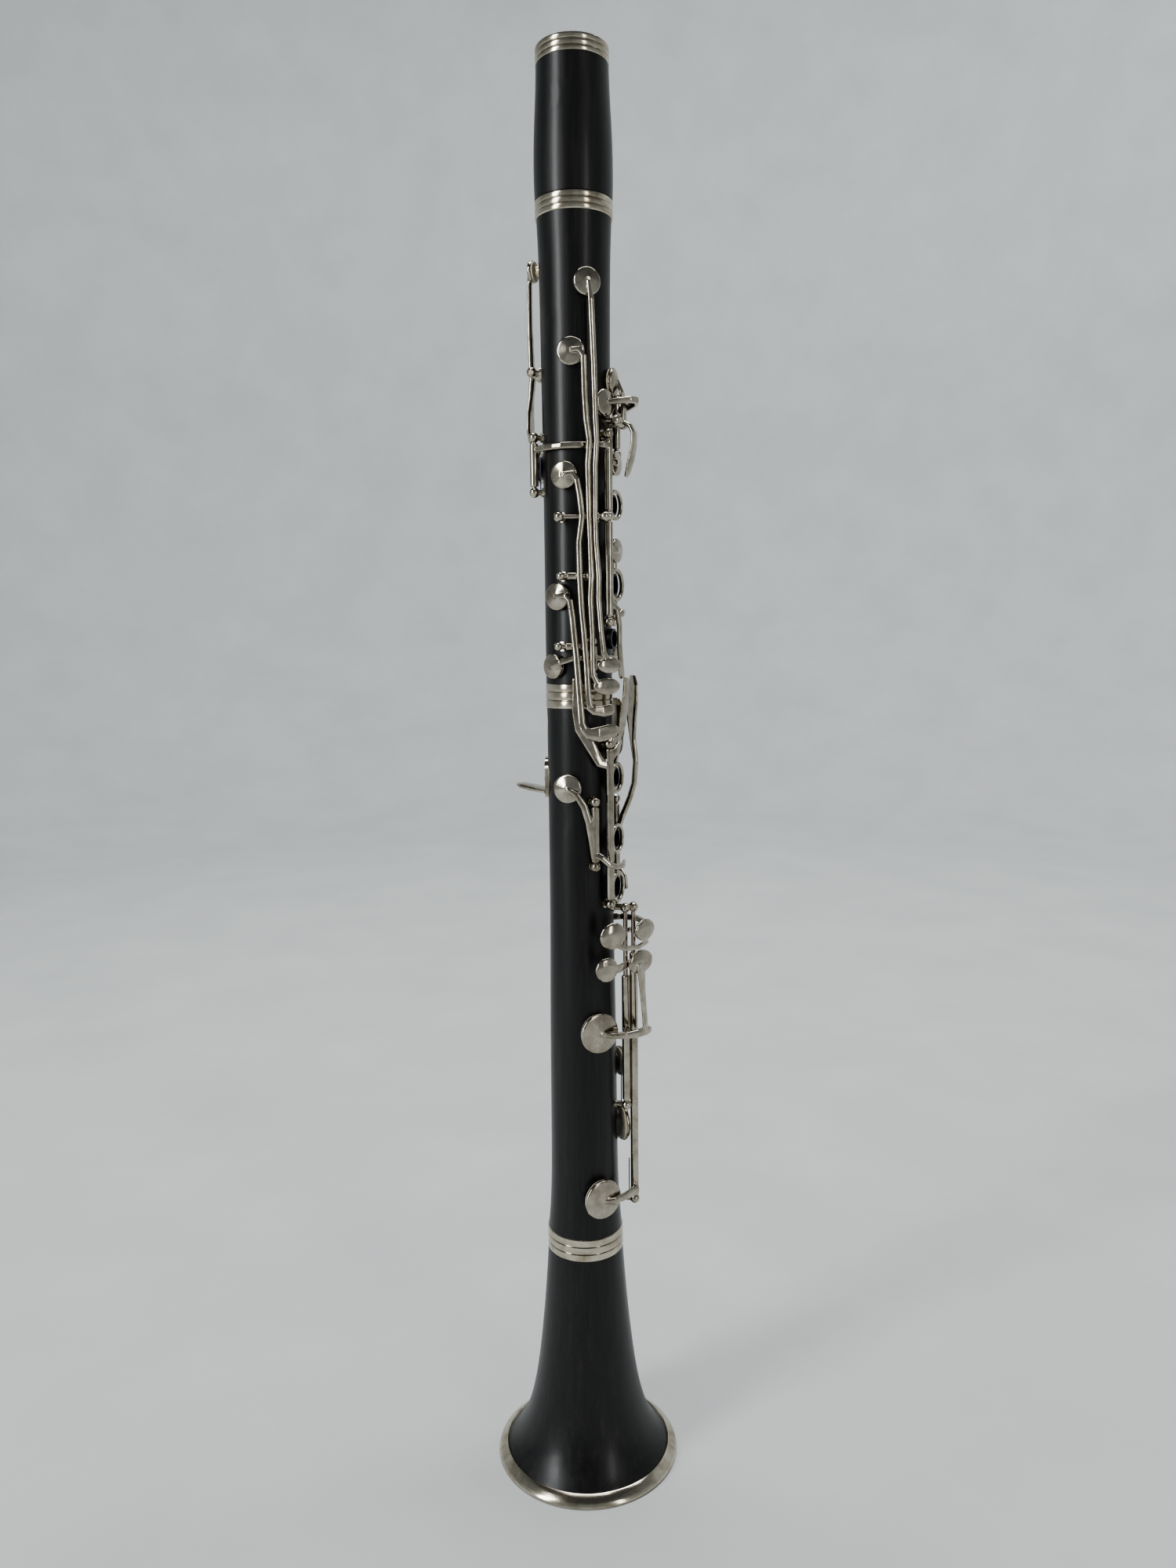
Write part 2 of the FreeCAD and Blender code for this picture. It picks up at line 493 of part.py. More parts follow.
def right_f_sharp_key():
    hinge = HINGES["right_f_sharp_key"]
    cup, pad = cup_and_pad(-36, 180, 14.55, 6.4, 3.6)
    pad_arm = bar([(at(18.0, -36, 180), 2.2, 1.6), (at(20.2, -48, 180), 2.8, 1.9),
                   (at(21.3, -60, 180), 3.0, 2.0), (at(21.2, -74, 180), 3.2, 2.0),
                   (at(18.8, -89, 180), 4.0, 2.4)])
    touch_arm = bar([(at(18.4, -90, 237), 4.0, 2.4), (at(21.8, -74, 236.8), 2.8, 2.0),
                     (at(25.0, -52, 236.6), 2.4, 1.8), (at(26.3, -28, 236.5), 2.2, 1.8),
                     (at(26.6, -4, 236.5), 2.0, 1.8), (at(26.0, 16, 236.5), 2.0, 1.8),
                     (at(25.2, 34, 237.5), 2.2, 1.8), (at(24.8, 44, 240.5), 3.2, 1.8)])
    touch = pebble(side(10.0, 22.9, 243.6), 50, 11.6, 11.0, 3.2, 0, 25)
    key = hinge.bored(fused([cup, pad_arm, touch_arm, touch, hinge.barrel()]))
    return hinge.opened(key), hinge.opened(pad)


def right_a_flat_key():
    hinge = HINGES["right_a_flat_key"]
    cup, pad = cup_and_pad(45.5, 199.6, 14.45, LARGE_CUP, 3.4)
    pad_arm = bar([(side(7.8, 15.9, 199.6), 1.6, 1.6), (side(12.0, 17.2, 199.4), 2.4, 2.0),
                   (side(18.0, 15.8, 199.1), 3.0, 2.2), (side(23.0, 13.0, 198.9), 3.6, 2.2),
                   (side(27.0, 9.0, 198.7), 3.8, 2.0), (side(28.6, 7.0, 198.6), 2.8, 1.6)])
    web = bar([(side(18.4, 6.8, 199.0), 3.0, 2.4), (side(17.8, 11.0, 199.1), 3.0, 2.0),
               (side(17.6, 15.6, 199.1), 3.0, 1.6)], around(SIDE))
    plate = bar([(side(26.6, 9.4, 198.8), 5.0, 1.6), (side(26.2, 9.8, 206), 4.6, 1.5),
                 (side(25.4, 10.6, 216), 4.8, 1.5), (side(24.9, 10.9, 224), 6.6, 1.6),
                 (side(24.7, 10.9, 229), 8.0, 1.6)])
    touch = pebble(side(24.5, 10.6, 229.4), 30, 13.5, 10.0, 3.0)
    return hinge.bored(fused([cup, pad_arm, web, plate, touch, hinge.barrel()])), pad


KEYS = {
    "register_key": register_key, "thumb_ring_key": thumb_ring_key,
    "throat_a_key": throat_a_key, "throat_g_sharp_key": throat_g_sharp_key,
    "upper_ring_key_1": upper_ring_key_1, "upper_ring_key_2": upper_ring_key_2,
    "side_key_1": side_key_1, "side_key_2": side_key_2, "side_key_3": side_key_3,
    "side_key_4": side_key_4, "c_sharp_key": c_sharp_key, "upper_sliver_key": upper_sliver_key,
    "lower_ring_key": lower_ring_key, "lower_sliver_key": lower_sliver_key,
    "left_e_lever": left_e_lever, "left_f_sharp_lever": left_f_sharp_lever,
    "right_e_key": right_e_key, "right_f_key": right_f_key,
    "right_f_sharp_key": right_f_sharp_key, "right_a_flat_key": right_a_flat_key,
}


# ------------------------------------------------------------------ posts, rods and springs

def upper_rod_lines():
    """(start, end, foot radius) of each rod on the upper joint, posts at both ends."""
    wood = 13.75
    return [
        (Vector(-5.0, 17.0, 471), Vector(5.0, 17.0, 471), wood),
        (at(17.5, 150, 423.2), at(17.5, 150, 444.8), wood),
        (Vector(-5.0, -18.4, 450), Vector(5.0, -18.4, 450), wood),
        (at(17.5, -40, 439.2), at(17.5, -40, 461.8), wood),
        (at(17.6, 25.5, 371.1), at(17.6, 25.5, 444.6), wood),
        (side(-7.2, 16.4, 412.3), side(11.0, 16.4, 412.3), wood),
        (side(-6.8, 15.7, 389.2), side(4.4, 15.7, 389.2), wood),
        (side(-8.0, 15.7, 361.4), side(2.3, 15.7, 361.4), wood),
        (at(16.0, 50, 349.8), at(16.0, 50, 363.4), wood),
        (at(17.2, -50, 371.2), at(17.2, -50, 398.8), wood),
    ]


def lower_rod_lines():
    """(start, end, foot radius) of each rod on the lower joint, posts at both ends."""
    return [
        (at(17.4, 27, 254.6), at(17.4, 27, 321.6), 13.6),
        (at(17.5, 51, 271.3), at(17.5, 51, 298.2), 13.6),
        (at(17.6, -50, 260.0), at(17.6, -50, 296.0), 13.6),
        (at(17.6, -75, 260.0), at(17.6, -75, 296.0), 13.6),
        (at(22.2, -8, 120.8), at(22.2, -8, 251.5), 13.9),
        (at(17.6, -70, 146.2), at(17.6, -70, 247.8), 13.9),
        (at(17.6, -90, 170.2), at(17.6, -90, 242.8), 13.9),
        (at(19.3, -1, 164.4), at(19.3, -1, 251.5), 13.9),
    ]


def posts(lines, middle):
    """All ball posts of one joint as separate solids, drilled for their rods."""
    made = []
    for start, end, foot in lines:
        small = 1.75 if start.z < 395 and (end - start).Length < 15 else BALL
        for point in (start, end):
            made.append(post(point, foot, small))
    for point, foot in middle:
        made.append(post(point, foot))
    drilled = []
    for solid in made:
        for start, end, foot in lines:
            line = end - start
            extra = line * (3 / line.Length)
            solid = solid.cut(rod(start - extra, end + extra, ROD))
        drilled.append(solid)
    return drilled


def rods(lines):
    """Steel hinge rods, each with a screw slot in one end."""
    made = []
    for start, end, foot in lines:
        line = end - start
        tip = line * (1.6 / line.Length)
        whole = rod(start - tip, end + tip, ROD)
        slot = Part.makeBox(3, 0.35, 0.8, Vector(-1.5, -0.175, -0.8))
        slot.Placement = FreeCAD.Placement(end + tip, FreeCAD.Rotation(UP, line))
        made.append(whole.cut(slot))
    return made


def springs(lines, reach):
    """Blued needle springs, each fixed in a post and lying beside its tube."""
    made = []
    for start, end, foot in lines:
        line = end - start
        if line.Length < 20:
            continue
        line.normalize()
        out = Vector(start.x, start.y, 0)
        out.normalize()
        low = start - out * 2.5
        across = line.cross(out) * 0.4
        made.append(rod(low + line * 0.5 + across, low + line * reach + across * 2, 0.22))
    return made


# ------------------------------------------------------------------ wooden tube

def banded_ring(low, high, inner, outer, bands=3):
    """Plated ring turned with rounded bands."""
    step = (high - low) / bands
    outline = [(inner, low)]
    for band in range(bands):
        base = low + band * step
        outline += [(outer - 0.45, base), (outer - 0.1, base + 0.3), (outer, base + step * 0.3),
                    (outer, base + step * 0.7), (outer - 0.1, base + step - 0.3),
                    (outer - 0.45, base + step)]
    outline.append((inner, high))
    return turned(outline)


def curved_body(outer, closing):
    """Turned wood with a smooth outer curve and straight-sided remaining outline."""
    curve = Part.BSplineCurve()
    curve.interpolate([Vector(r, 0, z) for r, z in outer])
    corners = [outer[-1]] + closing + [outer[0]]
    rest = Part.makePolygon([Vector(r, 0, z) for r, z in corners])
    face = Part.Face(Part.Wire([curve.toShape()] + rest.Edges))
    return face.revolve(AXIS_POINT, UP, 360)


def bell():
    outer = [(16.5, 97.8), (17.5, 83), (19.35, 62), (21.9, 41), (25.0, 25.2), (30.6, 11), (35.9, 4.3)]
    inner = [(37.2, 2.4), (37.2, 0.4), (36.3, 0.4), (32, 3.6), (27.5, 9.5), (23, 19), (19.8, 30),
             (16, 51), (13.2, 73), (11.6, 90.2), (BELL_TENON + SLIDE_GAP, 90.2),
             (BELL_TENON + SLIDE_GAP, BELL_TOP), (15.4, BELL_TOP), (15.4, 97.8)]
    return curved_body(outer, inner)


def bell_rim_ring():
    return turned([(37.2, 0), (39.4, 0), (40.0, 0.4), (40.2, 1.1), (39.9, 1.9), (39.2, 2.6),
                   (36.9, 4.5), (36.4, 4.7), (35.9, 4.3), (37.2, 2.4)])


def lower_joint_blank():
    foot = BELL_TOP - BELL_TENON_LENGTH
    outer = [(12.95, LOWER_TOP), (12.95, 336.0), (13.6, 336.0)]
    core = BELL_TENON - CORK
    curve = [(13.6, 336.0), (13.5, 290), (13.7, 240), (14.2, 197), (14.5, 148), (15.3, 118),
             (16.1, BELL_TOP)]
    closing = [(BELL_TENON - 0.05, BELL_TOP), (BELL_TENON - 0.05, BELL_TOP - 1.6),
               (core, BELL_TOP - 1.6), (core, foot + 2), (BELL_TENON - 0.05, foot + 2),
               (BELL_TENON - 0.05, foot), (11.0, foot), (BORE, 200),
               (BORE, LOWER_TOP - MIDDLE_TENON_LENGTH - 0.4),
               (MIDDLE_TENON + SLIDE_GAP, LOWER_TOP - MIDDLE_TENON_LENGTH - 0.4),
               (MIDDLE_TENON + SLIDE_GAP, LOWER_TOP)]
    return curved_body(curve, closing + outer[:2])


def upper_joint_blank():
    foot = LOWER_TOP - MIDDLE_TENON_LENGTH
    top = UPPER_TOP + UPPER_TENON_LENGTH
    core_low = MIDDLE_TENON - CORK
    core_top = UPPER_TENON - CORK
    curve = [(14.9, UPPER_TOP), (14.45, 517), (14.0, 487), (13.7, 440), (13.7, LOWER_TOP)]
    closing = [(MIDDLE_TENON - 0.05, LOWER_TOP), (MIDDLE_TENON - 0.05, LOWER_TOP - 2),
               (core_low, LOWER_TOP - 2), (core_low, foot + 2), (MIDDLE_TENON - 0.05, foot + 2),
               (MIDDLE_TENON - 0.05, foot), (BORE, foot), (BORE, top), (UPPER_TENON - 0.05, top),
               (UPPER_TENON - 0.05, top - 2), (core_top, top - 2), (core_top, UPPER_TOP + 1.6),
               (UPPER_TENON - 0.05, UPPER_TOP + 1.6), (UPPER_TENON - 0.05, UPPER_TOP)]
    return curved_body(curve, closing)


def barrel():
    socket = UPPER_TENON + SLIDE_GAP
    shoulder = UPPER_TOP + UPPER_TENON_LENGTH + 0.5
    cup_floor = BARREL_TOP - MOUTHPIECE_DEPTH
    curve = [(15.4, 535.1), (15.65, 545), (15.35, 560), (14.75, 572), (14.3, 585.0)]
    closing = [(13.6, 585.0), (13.6, BARREL_TOP), (MOUTHPIECE_SOCKET, BARREL_TOP),
               (MOUTHPIECE_SOCKET, cup_floor), (BORE, cup_floor), (BORE, shoulder),
               (socket, shoulder), (socket, UPPER_TOP), (14.5, UPPER_TOP), (14.5, 535.1)]
    return curved_body(curve, closing)


def cork(low, high, outer):
    return turned([(outer - CORK, low), (outer - CORK, high), (outer - 0.2, high),
                   (outer, high - 0.6), (outer, low + 0.6), (outer - 0.2, low)])


def finger_hole(angle, height, hole, chimney, top=CHIMNEY):
    """Raised chimney and the hole through it."""
    base = at(9.0, angle, height)
    tip = at(top - 0.1, angle, height)
    return rod(base, tip, chimney), rod(at(4, angle, height), at(top + 2, angle, height), hole)


def pad_seat(angle, height, seat, cup_radius, root=9.0):
    """Flat-topped rim under a pad, with the tone hole and the flat that clears the pad."""
    rim = rod(at(root, angle, height), at(seat, angle, height), cup_radius - 1.3)
    hole = rod(at(4, angle, height), at(seat + 2, angle, height), cup_radius * 0.55)
    flat = rod(at(seat, angle, height), at(seat + 4, angle, height), cup_radius + 0.7)
    return rim, hole.fuse(flat)


def drilled(blank, holes, seats, bore_radius):
    """Wood with every raised hole added and every tone hole drilled."""
    rims = []
    cuts = []
    for rim, cut in holes + seats:
        rims.append(rim)
        cuts.append(cut)
    return blank.fuse(rims).cut(cuts).removeSplitter()


def upper_joint():
    holes = [finger_hole(0, 417.8, 3.2, 4.1), finger_hole(0, 386, 3.6, 4.6),
             finger_hole(0, 364.2, 3.3, 4.2, 15.6), finger_hole(180, 434, 4.35, 4.95, 14.2)]
    seats = [pad_seat(53, 501.3, 14.0, SMALL_CUP), pad_seat(77.5, 475.4, 14.0, SMALL_CUP),
             pad_seat(89.3, 428.6, 14.0, SMALL_CUP), pad_seat(102.5, 381.3, 14.0, SMALL_CUP),
             pad_seat(112.8, 353.4, 13.95, 4.9), pad_seat(0, 465.7, 14.2, 5.3),
             pad_seat(24, 456.8, 14.1, 5.2), pad_seat(0, 434, 13.95, VENT_CUP),
             pad_seat(0, 399.6, 13.95, VENT_CUP), pad_seat(-78, 392, 13.9, VENT_CUP)]
    wood = drilled(upper_joint_blank(), holes, seats, BORE)
    return wood.cut(rod(at(4, 180, 511), at(20, 180, 511), 2.0))


def lower_joint():
    holes = [finger_hole(0, 307.0, 3.4, 4.2), finger_hole(0, 281.1, 3.6, 4.2),
             finger_hole(0, 260.4, 4.0, 4.7)]
    seats = [pad_seat(0, 321.7, 13.85, 5.5, 12.3), pad_seat(90, 303.6, 13.85, 5.9),
             pad_seat(45.5, 199.6, 14.45, LARGE_CUP), pad_seat(46.6, 126.5, 14.75, LARGE_CUP),
             pad_seat(-32, 153, 14.65, LARGE_CUP), pad_seat(-36, 180, 14.55, 6.4)]
    return drilled(lower_joint_blank(), holes, seats, BORE)


def thumb_tube():
    return pipe(at(8.2, 180, 434), at(CHIMNEY, 180, 434), 4.35, 3.3)


def register_vent():
    return pipe(at(6.0, 180, 511), at(16.3, 180, 511), 2.0, 1.2)


def thumb_rest(wood):
    """Curved plate with a hook for the right thumb."""
    plate = turned([(13.2, 298.5), (14.9, 298.5), (14.9, 315.5), (13.2, 315.5)])
    block = Part.makeBox(12.4, 8, 20, Vector(-6.2, 9, 297))
    corner = Part.makeCylinder(6.4, 20, Vector(0, 5, 308.6), Vector(0, 1, 0))
    keep = block.common(Part.makeBox(13, 20, 10.2, Vector(-6.5, 5, 298.4)).fuse(corner))
    hook = bar([(Vector(0, 14.0, 300.4), 12.0, 2.2), (Vector(0, 17.5, 300.8), 11.6, 2.1),
                (Vector(0, 22.0, 301.6), 10.8, 2.4), (Vector(0, 26.2, 302.4), 8.6, 2.2),
                (Vector(0, 28.2, 302.7), 4.2, 1.4)], UP)
    return fused([plate.common(keep), hook]).cut(wood)


def thumb_rest_screws():
    """Two dome-headed wood screws."""
    made = []
    for height in (305.6, 311.4):
        head = turned([(0, 0), (1.9, 0), (1.7, 0.5), (1.0, 0.9), (0, 1.0)])
        head = head.cut(Part.makeBox(4, 0.45, 1, Vector(-2, -0.225, 0.55)))
        head.Placement = facing(at(14.9, 180, height), 180)
        made.append(fused([head, rod(at(10.5, 180, height), at(15.1, 180, height), 0.9)]))
    return made


# ------------------------------------------------------------------ assembly

def compound(solids):
    return Part.makeCompound(solids)


def build():
    parts = {}
    for name, make in KEYS.items():
        key, pad = make()
        parts[name] = key
        if pad:
            parts[name + "_pad"] = pad
    upper_lines = upper_rod_lines()
    lower_lines = lower_rod_lines()
    upper_post = posts(upper_lines, [(at(17.6, 25.5, 412.8), 13.75)])
    lower_post = posts(lower_lines, [])
    parts["upper_posts"] = compound(upper_post)
    parts["lower_posts"] = compound(lower_post)
    parts["upper_rods"] = compound(rods(upper_lines))
    parts["lower_rods"] = compound(rods(lower_lines))
    upper_spring = springs(upper_lines, 14)
    lower_spring = springs(lower_lines, 18)
    parts["upper_springs"] = compound(upper_spring).cut(parts["upper_posts"])
    parts["lower_springs"] = compound(lower_spring).cut(parts["lower_posts"])
    parts["upper_joint"] = upper_joint().cut(upper_post)
    lower_wood = lower_joint().cut(lower_post)
    parts["thumb_rest"] = thumb_rest(lower_wood)
    screws = thumb_rest_screws()
    parts["thumb_rest_screws"] = compound(screws)
    parts["thumb_rest"] = parts["thumb_rest"].cut(screws)
    parts["lower_joint"] = lower_wood.cut(screws)
    parts["thumb_tube"] = thumb_tube()
    parts["register_vent"] = register_vent()
    parts["upper_tenon_cork"] = cork(UPPER_TOP + 1.6, UPPER_TOP + UPPER_TENON_LENGTH - 2, UPPER_TENON)
    parts["middle_tenon_cork"] = cork(LOWER_TOP - MIDDLE_TENON_LENGTH + 2, LOWER_TOP - 2, MIDDLE_TENON)
    parts["bell_tenon_cork"] = cork(BELL_TOP - BELL_TENON_LENGTH + 2, BELL_TOP - 1.6, BELL_TENON)
    parts["socket_ring"] = banded_ring(336.0, LOWER_TOP, 12.95, 13.95)
    parts["bell"] = bell()
    parts["bell_socket_ring"] = banded_ring(97.8, BELL_TOP, 15.4, 16.6)
    parts["bell_rim_ring"] = bell_rim_ring()
    parts["barrel"] = barrel()
    parts["barrel_top_ring"] = banded_ring(585.0, BARREL_TOP, 13.6, 14.5)
    parts["barrel_bottom_ring"] = banded_ring(UPPER_TOP, 535.1, 14.5, 15.5)
    return parts


def main():
    os.makedirs("parts", exist_ok=True)
    for name, shape in build().items():
        if not shape.isValid() or not shape.Solids:
            print("bad solid", name)
        shape.exportStep("parts/" + name + ".step")
        print(name, len(shape.Solids), round(shape.Volume, 1))


if __name__ == "__main__":
    main()
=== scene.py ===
"""Looks of the clarinet: polished keywork, blackwood, plated rings, floor, light and camera."""
import json
import math

import bmesh
import bpy
from mathutils import Matrix, Vector


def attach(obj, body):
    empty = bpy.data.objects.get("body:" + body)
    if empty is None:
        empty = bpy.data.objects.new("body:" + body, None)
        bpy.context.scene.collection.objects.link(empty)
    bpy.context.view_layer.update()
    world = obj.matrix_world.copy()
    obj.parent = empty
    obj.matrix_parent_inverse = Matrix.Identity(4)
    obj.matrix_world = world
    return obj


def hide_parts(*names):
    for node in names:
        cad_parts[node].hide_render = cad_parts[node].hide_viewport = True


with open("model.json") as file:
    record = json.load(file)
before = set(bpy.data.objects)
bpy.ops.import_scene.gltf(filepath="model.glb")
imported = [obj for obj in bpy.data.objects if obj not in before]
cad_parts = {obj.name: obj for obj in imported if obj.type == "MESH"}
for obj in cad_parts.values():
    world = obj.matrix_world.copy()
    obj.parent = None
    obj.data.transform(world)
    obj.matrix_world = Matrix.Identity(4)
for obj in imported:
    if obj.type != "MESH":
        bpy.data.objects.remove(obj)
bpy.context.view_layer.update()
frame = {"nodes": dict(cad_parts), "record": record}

NODES = frame["nodes"]
SLOT_OF = {s["node"]: s["material_slot"] for s in frame["record"]["subparts"]}
BODY_OF = {n: body for body, names in frame["record"]["behaviour"]["bodies"].items() for n in names}

# camera, worked out from the object: it faces the player's right side of the instrument
CAMERA_SIDE = 71.0          # degrees round from the front
CAMERA_DISTANCE = 0.478
CAMERA_OFFSET = 0.0032
CAMERA_HEIGHT = 0.3666
CAMERA_PITCH = 7.51
CAMERA_ROLL = 0.62
FILM_HEIGHT = 36.0
LENS = 26.26

KEY_VOXEL = 0.00022         # remesh size of the brazed keys
KEY_SMOOTHING = 4
PLATING = 0.00008           # makes up for what the smoothing takes off
SHARP_ANGLE = 32.0
WELD = 0.000002             # vertices closer than this are one

# plain round backdrop: a flat floor, a curve and an upright wall
FLOOR_RADIUS = 1.6
WALL_CURVE = 0.9
WALL_TOP = 3.2
CURVE_STEPS = 12
WALL_SIDES = 96
BACKDROP_WELD = 0.0001

DAYLIGHT = (0.97, 0.99, 1.0)
LAMPLIGHT = (1.0, 0.98, 0.95)
ROOM_COLOUR = (0.80, 0.82, 0.84, 1)
ROOM_STRENGTH = 0.07

# each metal: bright colour, tarnish colour, amount of tarnish, roughness, depth of turned lines
METALS = {
    "key_plate": ((0.47, 0.435, 0.370), (0.15, 0.115, 0.075), 0.70, 0.12, 0.0),
    "ring_plate": ((0.55, 0.51, 0.43), (0.20, 0.155, 0.09), 0.65, 0.15, 0.5),
    "rod_steel": ((0.36, 0.325, 0.30), (0.13, 0.09, 0.07), 0.7, 0.18, 0.0),
    "blued_steel": ((0.07, 0.085, 0.17), (0.09, 0.06, 0.05), 0.6, 0.3, 0.0),
    "tube_brass": ((0.60, 0.52, 0.38), (0.26, 0.18, 0.10), 0.6, 0.28, 0.0),
}
LINE_SCALE = 1500.0         # turned lines across a metre


# ------------------------------------------------------------------ node helpers

def shader(name):
    """New material with a Principled shader: (material, tree, shader node)."""
    material = bpy.data.materials.new(name)
    material.use_nodes = True
    tree = material.node_tree
    return material, tree, tree.nodes["Principled BSDF"]


def place(tree, scale=(1, 1, 1)):
    """Object coordinates in metres, stretched by a scale."""
    coordinates = tree.nodes.new("ShaderNodeTexCoord")
    mapping = tree.nodes.new("ShaderNodeMapping")
    mapping.inputs["Scale"].default_value = scale
    tree.links.new(coordinates.outputs["Object"], mapping.inputs["Vector"])
    return mapping.outputs["Vector"]


def noise(tree, vector, scale, detail=4.0, rough=0.55):
    """Noise between 0 and 1."""
    node = tree.nodes.new("ShaderNodeTexNoise")
    node.inputs["Scale"].default_value = scale
    node.inputs["Detail"].default_value = detail
    node.inputs["Roughness"].default_value = rough
    tree.links.new(vector, node.inputs["Vector"])
    return node.outputs["Fac"]


def ramp(tree, value, stops):
    """Colour ramp through (position, colour) stops."""
    node = tree.nodes.new("ShaderNodeValToRGB")
    elements = node.color_ramp.elements
    elements[0].position, elements[0].color = stops[0][0], (*stops[0][1], 1)
    elements[1].position, elements[1].color = stops[-1][0], (*stops[-1][1], 1)
    for position, colour in stops[1:-1]:
        elements.new(position).color = (*colour, 1)
    tree.links.new(value, node.inputs["Fac"])
    return node.outputs["Color"]


def spread(tree, value, low, high, start=0.3, stop=0.7):
    """Value between start and stop mapped to low and high."""
    node = tree.nodes.new("ShaderNodeMapRange")
    node.inputs["From Min"].default_value = start
    node.inputs["From Max"].default_value = stop
    node.inputs["To Min"].default_value = low
    node.inputs["To Max"].default_value = high
    tree.links.new(value, node.inputs["Value"])
    return node.outputs["Result"]


def mixed(tree, factor, first, second, kind="MIX"):
    """Blend of two colours or values, each a constant or another node's output."""
    node = tree.nodes.new("ShaderNodeMix")
    node.data_type = "RGBA"
    node.blend_type = kind
    for socket, source in ((node.inputs[0], factor), (node.inputs[6], first), (node.inputs[7], second)):
        if isinstance(source, (int, float)):
            socket.default_value = source
        elif isinstance(source, tuple):
            socket.default_value = (*source, 1)
        else:
            tree.links.new(source, socket)
    return node.outputs[2]


def relief(tree, target, height, distance, strength=1.0):
    """Bumps of this height on the target shader."""
    node = tree.nodes.new("ShaderNodeBump")
    node.inputs["Strength"].default_value = strength
    node.inputs["Distance"].default_value = distance
    tree.links.new(height, node.inputs["Height"])
    tree.links.new(node.outputs["Normal"], target.inputs["Normal"])


# ------------------------------------------------------------------ materials

def blackwood():
    """Oiled black hardwood: long fine pores, faint brown streaks and a soft satin polish."""
    material, tree, surface = shader("blackwood")
    streaks = noise(tree, place(tree, (1.0, 1.0, 0.045)), 420.0, 6.0, 0.6)
    pores = noise(tree, place(tree, (1.0, 1.0, 0.03)), 2600.0, 3.0, 0.5)
    patches = noise(tree, place(tree, (1.0, 1.0, 0.4)), 26.0, 3.0, 0.5)
    wood = ramp(tree, streaks, [(0.30, (0.0035, 0.0034, 0.0040)), (0.55, (0.0075, 0.0070, 0.0072)),
                                (0.75, (0.0200, 0.0165, 0.0150))])
    dark = ramp(tree, pores, [(0.38, (0.45, 0.45, 0.45)), (0.50, (1.0, 1.0, 1.0))])
    tree.links.new(mixed(tree, 1.0, wood, dark, "MULTIPLY"), surface.inputs["Base Color"])
    gloss = mixed(tree, 0.5, spread(tree, streaks, 0.30, 0.46), spread(tree, patches, 0.26, 0.44))
    tree.links.new(gloss, surface.inputs["Roughness"])
    surface.inputs["Specular IOR Level"].default_value = 0.38
    surface.inputs["Coat Weight"].default_value = 0.08
    surface.inputs["Coat Roughness"].default_value = 0.14
    relief(tree, surface, mixed(tree, 0.6, streaks, pores), 0.00005, 0.7)
    return material


def plated(name, bright, tarnish, amount, rough, lines):
    """Aged plated metal: tarnish patches, handling marks, fine turned lines, painted shade in the
    hollows and a painted highlight on sharp edges.
    """
    material, tree, surface = shader(name)
    surface.inputs["Metallic"].default_value = 1.0
    blotches = noise(tree, place(tree), 150.0, 5.0, 0.62)
    marks = noise(tree, place(tree, (1, 1, 0.25)), 1700.0, 4.0, 0.6)
    specks = noise(tree, place(tree), 900.0, 6.0, 0.7)
    stain = ramp(tree, blotches, [(0.42, (0, 0, 0)), (0.72, (amount, amount, amount))])
    spots = ramp(tree, specks, [(0.60, (0, 0, 0)), (0.74, (0.45 * amount,) * 3)])
    base = mixed(tree, mixed(tree, 1.0, stain, spots, "ADD"), bright, tarnish)
    # pointiness mask: hollows darkened to 0.3 as painted shade along with grime, sharp edges lifted to
    # 1.25 above the clean metal as a painted highlight along with edge wear
    edges = tree.nodes.new("ShaderNodeNewGeometry").outputs["Pointiness"]
    grime_shade_wear_and_glint = ramp(tree, edges, [(0.40, (0.30, 0.27, 0.23)), (0.49, (1, 1, 1)), (0.60, (1.25, 1.24, 1.20))])
    tree.links.new(mixed(tree, 1.0, base, grime_shade_wear_and_glint, "MULTIPLY"), surface.inputs["Base Color"])
    polish = mixed(tree, 0.5, spread(tree, marks, rough * 0.7, rough * 1.35),
                   spread(tree, blotches, rough * 0.75, rough * 1.6))
    tree.links.new(polish, surface.inputs["Roughness"])
    height = marks
    if lines:
        wave = tree.nodes.new("ShaderNodeTexWave")
        wave.bands_direction = "Z"
        wave.inputs["Scale"].default_value = LINE_SCALE
        wave.inputs["Distortion"].default_value = 0.6
        tree.links.new(place(tree), wave.inputs["Vector"])
        height = mixed(tree, lines, marks, wave.outputs["Fac"])
    relief(tree, surface, height, 0.00001, 0.6)
    return material


def cork():
    """Granular tenon cork."""
    material, tree, surface = shader("cork")
    grains = tree.nodes.new("ShaderNodeTexVoronoi")
    grains.inputs["Scale"].default_value = 900.0
    tree.links.new(place(tree), grains.inputs["Vector"])
    tone = noise(tree, place(tree), 500.0, 5.0)
    base = ramp(tree, tone, [(0.35, (0.22, 0.12, 0.05)), (0.52, (0.48, 0.31, 0.16)),
                             (0.68, (0.62, 0.44, 0.26))])
    shade = ramp(tree, grains.outputs["Distance"], [(0.0, (0.7, 0.7, 0.7)), (0.4, (1, 1, 1))])
    tree.links.new(mixed(tree, 1.0, base, shade, "MULTIPLY"), surface.inputs["Base Color"])
    tree.links.new(spread(tree, tone, 0.62, 0.85), surface.inputs["Roughness"])
    relief(tree, surface, tone, 0.0001, 0.8)
    return material


